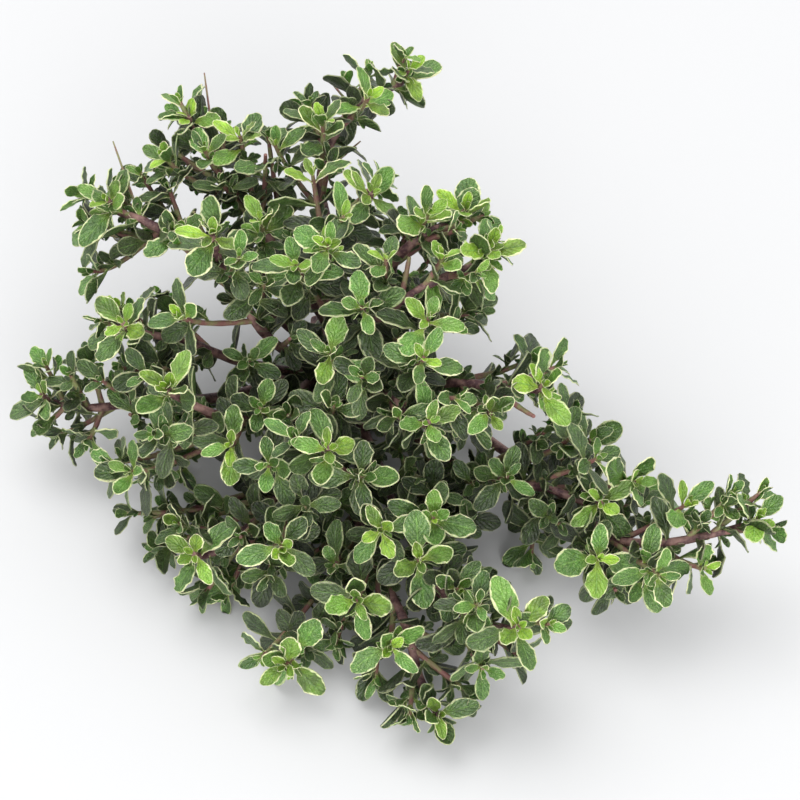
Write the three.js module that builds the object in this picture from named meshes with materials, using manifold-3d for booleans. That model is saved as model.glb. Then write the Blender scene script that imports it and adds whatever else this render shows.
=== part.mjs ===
// A bunch of variegated thyme lying on a table: leafy stems side by side at their cut ends,
// which fan out to the left, to the right, forwards and up.
// Millimetres, +Z up. The bunch rests on the plane z = 0, and the origin is the middle of the ground
// that it covers.

import * as THREE from "three";
import { mergeVertices } from "three/addons/utils/BufferGeometryUtils.js";
import Module from "manifold-3d";

const wasm = await Module();
wasm.setup();

// The middle of the ground that the bunch covers, in the coordinates that the routes below use
const groundMiddle = new THREE.Vector3(-3.2, 17.2, 0);

// The cut ends, stacked in rows
const cutEndY = 60;
const straightLength = 14;
const slotWidth = 3.1;
const rowRise = 2.8;
const bundleMiddleX = -14;
const rowCounts = [6, 5, 4, 3];

// Stems: radius at the cut end and at the tip, and the sides of their sections
const stemRadius = 1.2;
const stemTipRadius = 0.6;
const shootRadius = 0.75;
const shootTipRadius = 0.55;
const stemSides = 6;
const shootSides = 3;
const stemSteps = 12;
const shootSteps = 4;
const tipStretch = 7;
const tipRise = 0.6;
const shootRise = 0.65;
const shootBend = 0.45;
const flatShootHeight = 16;
const upward = new THREE.Vector3(0, -0.35, 0.94).normalize();
const steepTangent = 0.9;
const leastStemHeight = stemRadius * Math.cos(Math.PI / stemSides);

// Leaves stand in opposite pairs, each pair a quarter turn from the last. Counted from the tip down:
// the pair's distance from the tip, its leaves' length, and their angle from the stem in degrees
const leafPairs = [
  { fromTip: 0.6, length: 2.8, spread: 16 },
  { fromTip: 1.2, length: 5.0, spread: 34 },
  { fromTip: 2.2, length: 7.4, spread: 52 },
  { fromTip: 4.2, length: 9.2, spread: 66 },
  { fromTip: 7.6, length: 9.2, spread: 72 },
  { fromTip: 12.5, length: 8.8, spread: 76 },
  { fromTip: 18.5, length: 8.4, spread: 78 },
  { fromTip: 25.5, length: 8.0, spread: 80 },
  { fromTip: 33.0, length: 7.6, spread: 80 },
];
const budPairs = [1];
const rosettePairs = [2, 3];
const lowerPairs = [5, 7];
const leafyShare = 0.48;
const quarterTurn = Math.PI / 2;

// Differences between one leaf and the next: its turn in radians, its angle from the stem in degrees,
// its share of the length, and the size of the leaves on a stem and on its side shoots
const turnJitter = 0.22;
const spreadJitter = 9;
const lengthJitter = 0.12;
const stemLeafSize = 1.03;
const shootLeafSize = 0.92;
const shootLeafJitter = 0.1;
const jitterUses = { turn: 1, spread: 2, length: 3, curl: 4, size: 5 };
const jitterSteps = { stem: 127.1, axis: 311.7, leaf: 74.7, use: 19.3 };
const jitterScale = 43758.5453;

// Leaf blade: an obovate outline folded a little along its midrib and curled back towards its tip.
// It is thickest at its widest place, and a quarter of that thickness stands above its edge's plane
const bladeThickness = 0.8;
const upperShare = 0.25;
const widestAlong = 0.55;
const widthShare = 0.54;
const rootOffset = 0.06;
const shoulders = [
  { along: 0.3, width: 0.78 },
  { along: 0.74, width: 1 },
];
const foldRise = 0.2;
const curlBack = 0.096;

// Clear space kept between two leafy stems
const clearGap = 0.32;
const searchGap = 1;
const mergeDistance = 0.001;
const smallestEdge = 0.05;

// Colour and gloss
const leafGreen = 0x56793f;
const leafRoughness = 0.7;

// Each leafy stem: the row and the place of its cut end, the points that it runs through to its tip,
// and its side shoots, each with the share of the route where it leaves and its own tip
const leafyStems = [
  {
    name: "leafy_stem_left_low",
    slot: [0, 0],
    route: [[-27, 42, 3], [-41, 33, 8], [-57, 27, 14], [-69, 22, 18], [-80, 22, 23]],
    shoots: [[0.5, [-50, 15, 3]], [0.62, [-60, 17, 22]], [0.8, [-70, 31, 25]], [0.8, [-70, 15, 15]]],
  },
  {
    name: "leafy_stem_front_left",
    slot: [0, 1],
    route: [[-21, 37, 3], [-24, 20, 6], [-27, 3, 11], [-36, -12, 15], [-44, -19, 20]],
    shoots: [[0.56, [-25, -22, 27]], [0.62, [-40, -3, 12]], [0.72, [-38, -19, 4]], [0.8, [-48, -9, 17]]],
  },
  {
    name: "leafy_stem_front",
    slot: [0, 2],
    route: [[-15, 34, 3], [-12, 10, 6], [-6, -14, 12], [1, -33, 15], [4, -43, 10], [8, -53, 11]],
    shoots: [[0.5, [-20, -12, 8]], [0.58, [-24, -43, 14]], [0.62, [-9, -34, 25]], [0.74, [-2, -43, 21]]],
  },
  {
    name: "leafy_stem_front_right",
    slot: [0, 3],
    route: [[-10, 32, 3], [-3, 8, 8], [3, -14, 16], [9, -31, 22], [15, -39, 26], [24, -46, 34]],
    shoots: [
      [0.48, [-4, -22, 33]], [0.56, [7, -18, 32]], [0.62, [4, -28, 31]], [0.7, [12, -34, 29]],
      [0.8, [17, -48, 21]], [0.5, [12, -16, 6]],
    ],
  },
  {
    name: "leafy_stem_right_inner",
    slot: [0, 4],
    route: [[-5, 36, 3], [6, 20, 7], [18, 6, 14], [32, -4, 23], [43, -11, 28]],
    shoots: [[0.56, [23, -6, 30]], [0.66, [37, 4, 31]], [0.8, [50, -7, 30]]],
  },
  {
    name: "leafy_stem_right_long",
    slot: [0, 5],
    route: [[2, 40, 3], [20, 23, 5], [34, 6, 10], [45, -13, 18], [57, -20, 26], [75, -18, 32]],
    shoots: [
      [0.5, [29, -9, 4]], [0.58, [42, -23, 24]], [0.66, [52, -26, 20]], [0.74, [60, -14, 31]],
      [0.8, [64, -26, 25]], [0.5, [42, 10, 22]],
    ],
  },
  {
    name: "leafy_stem_left",
    slot: [1, 0],
    route: [[-24, 42, 6], [-36, 36, 17], [-49, 31, 31], [-60, 25, 44]],
    shoots: [[0.5, [-33, 21, 36]], [0.62, [-54, 42, 34]], [0.72, [-62, 34, 39]]],
  },
  {
    name: "leafy_stem_left_inner",
    slot: [1, 1],
    route: [[-21, 38, 7], [-28, 22, 17], [-37, 10, 30], [-49, 5, 47]],
    shoots: [[0.54, [-58, -3, 28]], [0.6, [-50, 10, 34]], [0.68, [-36, -2, 36]]],
  },
  {
    name: "leafy_stem_middle",
    slot: [1, 2],
    route: [[-17, 36, 7], [-19, 16, 15], [-18, 0, 30], [-15, -8, 43]],
    shoots: [[0.6, [-28, -8, 37]], [0.66, [-8, -10, 36]]],
  },
  {
    name: "leafy_stem_middle_right",
    slot: [1, 3],
    route: [[-12, 38, 9], [-8, 22, 24], [-5, 12, 37], [0, 3, 43], [6, -5, 48]],
    shoots: [[0.56, [-15, 12, 50]], [0.62, [6, 13, 60]], [0.7, [5, 5, 57]], [0.6, [9, 7, 36]]],
  },
  {
    name: "leafy_stem_right_high",
    slot: [1, 4],
    route: [[-7, 38, 10], [2, 22, 27], [14, 10, 42], [30, 4, 49]],
    shoots: [[0.5, [17, 16, 28]], [0.66, [28, 17, 42]], [0.76, [19, -2, 47]]],
  },
  {
    name: "leafy_stem_left_top",
    slot: [2, 0],
    route: [[-20, 40, 12], [-29, 32, 30], [-38, 35, 48], [-40, 34, 63]],
    shoots: [[0.6, [-30, 45, 55]], [0.64, [-47, 22, 50]], [0.7, [-29, 28, 54]]],
  },
  {
    name: "leafy_stem_middle_back",
    slot: [2, 1],
    route: [[-15, 40, 11], [-16, 37, 34], [-16, 42, 54], [-6, 45, 64]],
    shoots: [[0.56, [-22, 27, 61]], [0.68, [-15, 27, 67]], [0.76, [-19, 52, 62]], [0.5, [-24, 50, 44]]],
  },
  {
    name: "leafy_stem_right_top",
    slot: [2, 2],
    route: [[-11, 40, 13], [-8, 29, 32], [-4, 22, 50], [6, 23, 59], [19, 28, 65]],
    shoots: [[0.6, [-8, 18, 58]], [0.7, [-3, 26, 64]], [0.8, [9, 24, 67]], [0.66, [12, 18, 52]]],
  },
  {
    name: "leafy_stem_right_back",
    slot: [2, 3],
    route: [[-7, 44, 14], [-3, 40, 34], [-1, 36, 52], [6, 37, 60], [14, 40, 64]],
    shoots: [[0.6, [10, 31, 48]], [0.66, [2, 43, 56]], [0.76, [6, 37, 66]], [0.5, [8, 50, 40]]],
  },
  {
    name: "leafy_stem_back_low",
    slot: [3, 0],
    route: [[-21, 45, 13], [-31, 46, 25], [-45, 50, 38], [-57, 53, 46], [-65, 55, 51]],
    shoots: [[0.5, [-38, 60, 34]], [0.8, [-69, 46, 37]], [0.7, [-52, 62, 47]], [0.72, [-50, 46, 50]]],
  },
  {
    name: "leafy_stem_back_left",
    slot: [3, 1],
    route: [[-16.5, 47, 15.5], [-23, 51, 29], [-34, 60, 40], [-43, 70, 48], [-48, 78, 54]],
    shoots: [[0.6, [-36, 70, 56]], [0.68, [-53, 67, 52]], [0.56, [-26, 68, 40]]],
  },
  {
    name: "leafy_stem_back_top",
    slot: [3, 2],
    route: [[-11.5, 48, 15.5], [-14, 53, 34], [-18, 64, 48], [-11, 78, 56], [2, 87, 60]],
    shoots: [[0.52, [-28, 67, 56]], [0.58, [-17, 67, 64]], [0.74, [-7, 75, 63]]],
  },
];

// A repeatable number from -1 to 1 for a stem, one of its axes, a leaf and a use
function jitter(stem, axis, leaf, use) {
  const along = stem * jitterSteps.stem + axis * jitterSteps.axis + leaf * jitterSteps.leaf;
  const wave = Math.sin(along + use * jitterSteps.use) * jitterScale;
  return 2 * (wave - Math.floor(wave)) - 1;
}

function point([x, y, z]) {
  return new THREE.Vector3(x, y, z);
}

// The centre of a cut end's slot, which also holds the first straight stretch
function slotPoint([row, column], y) {
  const x = bundleMiddleX + (column - (rowCounts[row] - 1) / 2) * slotWidth;
  return new THREE.Vector3(x, y, leastStemHeight + row * rowRise);
}

// A stem's last stretch turns up towards the light
function stemCurve({ slot, route }) {
  const points = route.map(point);
  const tip = points.at(-1);
  const reach = tip.clone().sub(points.at(-2)).setLength(tipStretch * (1 - tipRise));
  points.splice(-1, 0, tip.clone().sub(reach).addScaledVector(upward, -tipStretch * tipRise));
  const ends = [slotPoint(slot, cutEndY), slotPoint(slot, cutEndY - straightLength)];
  return new THREE.CatmullRomCurve3([...ends, ...points], false, "catmullrom");
}

// So does a side shoot, unless its tip lies near the table
function shootCurve(stem, share, tip) {
  const start = stem.getPointAt(share);
  const end = point(tip);
  const rise = shootRise * Math.min(1, end.z / flatShootHeight);
  const heading = end.clone().sub(start).normalize().lerp(upward, rise);
  const turn = end.clone().sub(heading.setLength(start.distanceTo(end) * shootBend));
  turn.z = Math.max(turn.z, shootRadius);
  return new THREE.QuadraticBezierCurve3(start, turn, end);
}

// Rings along a curve, each with its centre, its tangent and a sideways direction
// that turns as little as it can
function ringsAlong(curve, steps) {
  const rings = [];
  for (let i = 0; i <= steps; i++) {
    const tangent = curve.getTangent(i / steps);
    const steep = Math.abs(tangent.z) > steepTangent;
    const reference = steep ? new THREE.Vector3(0, 1, 0) : new THREE.Vector3(0, 0, 1);
    const before = rings.at(-1)?.side ?? new THREE.Vector3().crossVectors(tangent, reference);
    const side = before.clone().addScaledVector(tangent, -before.dot(tangent)).normalize();
    rings.push({ centre: curve.getPoint(i / steps), tangent, side });
  }
  return rings;
}

function lengthOf(rings) {
  return rings.slice(1).reduce((sum, ring, i) => sum + ring.centre.distanceTo(rings[i].centre), 0);
}

// The place that lies a distance back from the tip
function placeFromTip(rings, distance) {
  let rest = distance;
  for (let i = rings.length - 1; i > 0; i--) {
    const stretch = rings[i].centre.distanceTo(rings[i - 1].centre);
    if (rest <= stretch) {
      const mix = (key) => rings[i][key].clone().lerp(rings[i - 1][key], rest / stretch);
      return { root: mix("centre"), tangent: mix("tangent").normalize(), side: mix("side").normalize() };
    }
    rest -= stretch;
  }
}

function solidFrom(geometry) {
  const merged = mergeVertices(geometry, mergeDistance);
  return new wasm.Manifold(
    new wasm.Mesh({
      numProp: 3,
      vertProperties: merged.attributes.position.array,
      triVerts: new Uint32Array(merged.index.array),
    }),
  );
}

function solidOfPoints(vertices, triangles) {
  return solidFrom(new THREE.BufferGeometry().setFromPoints(vertices).setIndex(triangles));
}

function geometryOf(solid) {
  const { vertProperties, triVerts } = solid.getMesh();
  const geometry = new THREE.BufferGeometry();
  geometry.setAttribute("position", new THREE.BufferAttribute(vertProperties, 3));
  return geometry.setIndex(new THREE.BufferAttribute(triVerts, 1));
}

// A closed tapering tube through rings, flattened where it lies on the table
function tubeSolid(rings, startRadius, endRadius, sides) {
  const vertices = [];
  const triangles = [];
  const steps = rings.length - 1;
  rings.forEach(({ centre, tangent, side }, i) => {
    const rise = new THREE.Vector3().crossVectors(side, tangent);
    const radius = startRadius + ((endRadius - startRadius) * i) / steps;
    for (let j = 0; j < sides; j++) {
      const angle = (2 * Math.PI * j) / sides;
      const vertex = centre.clone();
      vertex.addScaledVector(side, radius * Math.cos(angle)).addScaledVector(rise, radius * Math.sin(angle));
      vertex.z = Math.max(vertex.z, 0);
      vertices.push(vertex);
    }
  });
  for (let i = 0; i < steps; i++) {
    for (let j = 0; j < sides; j++) {
      const a = i * sides + j;
      const b = i * sides + ((j + 1) % sides);
      triangles.push(a, a + sides, b, b, a + sides, b + sides);
    }
  }
  const last = steps * sides;
  for (let j = 1; j < sides - 1; j++) triangles.push(0, j, j + 1, last, last + j + 1, last + j);
  return solidOfPoints(vertices, triangles);
}

// One leaf blade from its root, along a direction, with its upper face towards a normal:
// its edge runs round two points, one on the midrib and one under it
function bladeSolid(root, direction, normal, length, curl) {
  const across = new THREE.Vector3().crossVectors(normal, direction);
  const halfWidth = (length * widthShare) / 2;
  const place = (along, sideways, rise) => {
    const vertex = root.clone().addScaledVector(direction, length * along);
    vertex.addScaledVector(across, sideways);
    return vertex.addScaledVector(normal, rise - curl * length * along * along);
  };
  const shoulder = (side, { along, width }) => {
    const sideways = halfWidth * width;
    return place(along, side * sideways, sideways * foldRise);
  };
  const right = shoulders.map((s) => shoulder(-1, s));
  const left = shoulders.map((s) => shoulder(1, s)).reverse();
  const edge = [root.clone(), ...right, place(1, 0, 0), ...left];
  const upper = place(widestAlong, 0, bladeThickness * upperShare);
  const under = place(widestAlong, 0, bladeThickness * (upperShare - 1));
  const vertices = [...edge, upper, under];
  for (const vertex of vertices) vertex.z = Math.max(vertex.z, 0);
  const triangles = edge.flatMap((vertex, i) => {
    const next = (i + 1) % edge.length;
    return [i, next, edge.length, next, i, edge.length + 1];
  });
  return solidOfPoints(vertices, triangles);
}

// An axis's leaves: two for each pair
function leavesOf(rings, stemIndex, axisIndex, pairNumbers, size) {
  const leaves = [];
  for (const number of pairNumbers) {
    const pair = leafPairs[number];
    if (pair.fromTip > lengthOf(rings) * leafyShare) continue;
    for (const opposite of [0, 1]) {
      const vary = (use) => jitter(stemIndex, axisIndex, number * 2 + opposite, jitterUses[use]);
      leaves.push({
        ...placeFromTip(rings, pair.fromTip),
        turn: axisIndex + (number + 2 * opposite) * quarterTurn + turnJitter * vary("turn"),
        spread: THREE.MathUtils.degToRad(pair.spread + spreadJitter * vary("spread")),
        length: pair.length * size * (1 + lengthJitter * vary("length")),
        curl: curlBack * (1 + vary("curl")),
      });
    }
  }
  return leaves;
}

function leafSolid(leaf, extraTurn, extraSpread, shrink) {
  const turn = leaf.turn + extraTurn;
  const spread = leaf.spread + extraSpread;
  const rise = new THREE.Vector3().crossVectors(leaf.side, leaf.tangent);
  const outward = leaf.side.clone().multiplyScalar(Math.cos(turn)).addScaledVector(rise, Math.sin(turn));
  const direction = leaf.tangent.clone().multiplyScalar(Math.cos(spread));
  direction.addScaledVector(outward, Math.sin(spread));
  const normal = leaf.tangent.clone().multiplyScalar(Math.sin(spread));
  normal.addScaledVector(outward, -Math.cos(spread));
  const root = leaf.root.clone().addScaledVector(outward, rootOffset);
  return bladeSolid(root, direction, normal, leaf.length * shrink, leaf.curl);
}

function boxesMeet(a, b, gap) {
  return [0, 1, 2].every((i) => a.min[i] - gap < b.max[i] && b.min[i] - gap < a.max[i]);
}

// Whether a solid keeps its distance from each placed solid that a test picks
function isClear(solid, counts) {
  const box = solid.boundingBox();
  return placed.every(
    (other) =>
      !counts(other) ||
      !boxesMeet(box, other.box, searchGap) ||
      solid.minGap(other.solid, searchGap) > clearGap,
  );
}

// Ways to bend a leaf clear of its neighbours, tried in turn
const bends = [
  [0, 0, 1], [0.35, 0, 1], [-0.35, 0, 1], [0, 0.3, 1], [0, -0.35, 1], [0.6, 0.1, 0.9], [-0.6, 0.1, 0.9],
  [0, -0.5, 0.85], [0.9, 0, 0.8], [-0.9, 0, 0.8], [0, -0.6, 0.65],
];

const placed = [];
function keep(solid, stemIndex, axisIndex, parts) {
  parts.push(solid);
  placed.push({ solid, stemIndex, axisIndex, box: solid.boundingBox() });
}

const built = leafyStems.map((stem, stemIndex) => {
  const curve = stemCurve(stem);
  const axes = [{ rings: ringsAlong(curve, stemSteps), size: stemLeafSize }];
  stem.shoots.forEach(([share, tip], i) => {
    const rings = ringsAlong(shootCurve(curve, share, tip), shootSteps);
    const size = shootLeafSize + shootLeafJitter * jitter(stemIndex, i + 1, 0, jitterUses.size);
    axes.push({ rings, size });
  });
  return { name: stem.name, axes, parts: [] };
});

built.forEach(({ name, axes, parts }, stemIndex) => {
  axes.forEach(({ rings }, axisIndex) => {
    const tube = axisIndex
      ? tubeSolid(rings, shootRadius, shootTipRadius, shootSides)
      : tubeSolid(rings, stemRadius, stemTipRadius, stemSides);
    const free = isClear(tube, (other) => other.stemIndex !== stemIndex);
    if (!free) console.log("too close:", name, axisIndex);
    keep(tube, stemIndex, axisIndex, parts);
  });
});

// Leaves go on from the rosettes down. A leaf bends clear of all others if it can,
// and of the other stems at least
let kept = 0;
for (const pairNumbers of [rosettePairs, budPairs, lowerPairs]) {
  built.forEach(({ axes, parts }, stemIndex) => {
    axes.forEach(({ rings, size }, axisIndex) => {
      if (pairNumbers === budPairs && axisIndex) return;
      for (const leaf of leavesOf(rings, stemIndex, axisIndex, pairNumbers, size)) {
        const foreign = (other) => other.stemIndex !== stemIndex;
        const apart = (other) => foreign(other) || other.axisIndex !== axisIndex;
        const bent = bends.map((bend) => leafSolid(leaf, ...bend));
        const solid = bent.find((s) => isClear(s, apart)) ?? bent.find((s) => isClear(s, foreign));
        if (!solid) continue;
        keep(solid, stemIndex, axisIndex, parts);
        kept += 1;
      }
    });
  });
}
console.log(kept, "leaves kept");

function largestBody(solid) {
  return solid.decompose().sort((a, b) => b.volume() - a.volume())[0];
}

// One body from a stem, its shoots and its leaves, without sealed hollows and loose scraps
function fused(parts) {
  const whole = largestBody(parts.reduce((a, b) => a.add(b)).simplify(smallestEdge));
  return largestBody(solidFrom(geometryOf(whole)).simplify(smallestEdge));
}

function meshFrom(solid, name, material) {
  const geometry = geometryOf(solid);
  geometry.computeVertexNormals();
  const mesh = new THREE.Mesh(geometry, material);
  mesh.name = name;
  return mesh;
}

const bunch = new THREE.Group();
for (const { name, parts } of built) {
  const material = new THREE.MeshStandardMaterial({ color: leafGreen, roughness: leafRoughness });
  bunch.add(meshFrom(fused(parts), name, material));
}
bunch.position.copy(groundMiddle).negate();

export default bunch;
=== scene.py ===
import math

import bpy
from mathutils import Matrix, Vector


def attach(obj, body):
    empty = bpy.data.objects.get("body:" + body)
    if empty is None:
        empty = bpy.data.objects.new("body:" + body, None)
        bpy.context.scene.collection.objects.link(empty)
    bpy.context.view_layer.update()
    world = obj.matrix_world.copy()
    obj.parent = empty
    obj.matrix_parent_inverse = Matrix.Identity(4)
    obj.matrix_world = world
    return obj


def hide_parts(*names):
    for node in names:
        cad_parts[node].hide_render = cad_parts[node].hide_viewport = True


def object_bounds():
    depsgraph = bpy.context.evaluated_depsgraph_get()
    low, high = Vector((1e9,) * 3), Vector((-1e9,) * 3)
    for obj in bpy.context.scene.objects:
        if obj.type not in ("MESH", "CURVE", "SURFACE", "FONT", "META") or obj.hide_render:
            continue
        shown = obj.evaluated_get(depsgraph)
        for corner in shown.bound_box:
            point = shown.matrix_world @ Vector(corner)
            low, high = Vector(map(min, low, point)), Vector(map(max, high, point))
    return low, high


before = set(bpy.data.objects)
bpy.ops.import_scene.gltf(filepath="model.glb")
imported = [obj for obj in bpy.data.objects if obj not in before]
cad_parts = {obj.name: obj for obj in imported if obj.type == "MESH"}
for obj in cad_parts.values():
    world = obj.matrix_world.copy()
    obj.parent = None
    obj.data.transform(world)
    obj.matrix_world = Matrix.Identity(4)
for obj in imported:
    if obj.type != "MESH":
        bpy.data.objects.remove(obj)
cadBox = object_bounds()

mm = 0.001
groundMiddle = Vector((-3.2, 17.2, 0.0)) * mm  # what the routes below are measured from
quarterTurn = math.pi / 2


# Camera at the photograph's angle, first of all

cameraLook = {
    "elevation": 52,  # degrees above the table
    "distance": 480 * mm,
    "aim": Vector((0, 0, 49)) * mm - groundMiddle,
    "focalLength": 103.7,
    "sensorWidth": 36,
    "nearest": 10 * mm,
}


def addCamera(look):
    rise = math.radians(look["elevation"])
    place = look["aim"] + look["distance"] * Vector((0, -math.cos(rise), math.sin(rise)))
    bpy.ops.object.camera_add(location=place, rotation=(quarterTurn - rise, 0, 0))
    camera = bpy.context.object
    camera.name = "photographCamera"
    camera.data.lens = look["focalLength"]
    camera.data.sensor_width = look["sensorWidth"]
    camera.data.clip_start = look["nearest"]
    bpy.context.scene.camera = camera


addCamera(cameraLook)
print("camera placed")


# The bunch, in millimetres: each stem's slot at the cut ends, its route, and its side shoots,
# each with the share of the route where it leaves and its tip

bunchShape = {
    "cutEndY": 60,
    "straightLength": 14,
    "slotWidth": 3.1,
    "rowRise": 2.8,
    "bundleMiddleX": -14,
    "rowCounts": [6, 5, 4, 3],
    "sectionSides": 6,
    "stemRadius": 1.2,
    "stemTipRadius": 0.55,
    "shootRadius": 0.62,
    "shootTipRadius": 0.4,
    "twigRadius": 0.3,
    "twigTipRadius": 0.16,
    "taper": 2.5,
    "tipStretch": 7,
    "tipRise": 0.6,
    "sideRise": {"shoot": 0.65, "extra": 0.35, "twig": 0},
    "sideRiseJitter": {"shoot": 0, "extra": 0.25, "twig": 0},
    "sideBend": 0.45,
    "flatShootHeight": 16,
    "upward": Vector((0, -0.35, 0.94)).normalized(),
    "stemSteps": 36,
    "shootSteps": 12,
    "measureSteps": 200,
    "tangentStep": 1e-4,
    "steepTangent": 0.9,
    "roundness": 3,
    "nodeSwell": 0.12,
    "nodeEvery": 3,
    "cutReach": 0.01,
    "cutFacing": 0.9,
}

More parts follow.
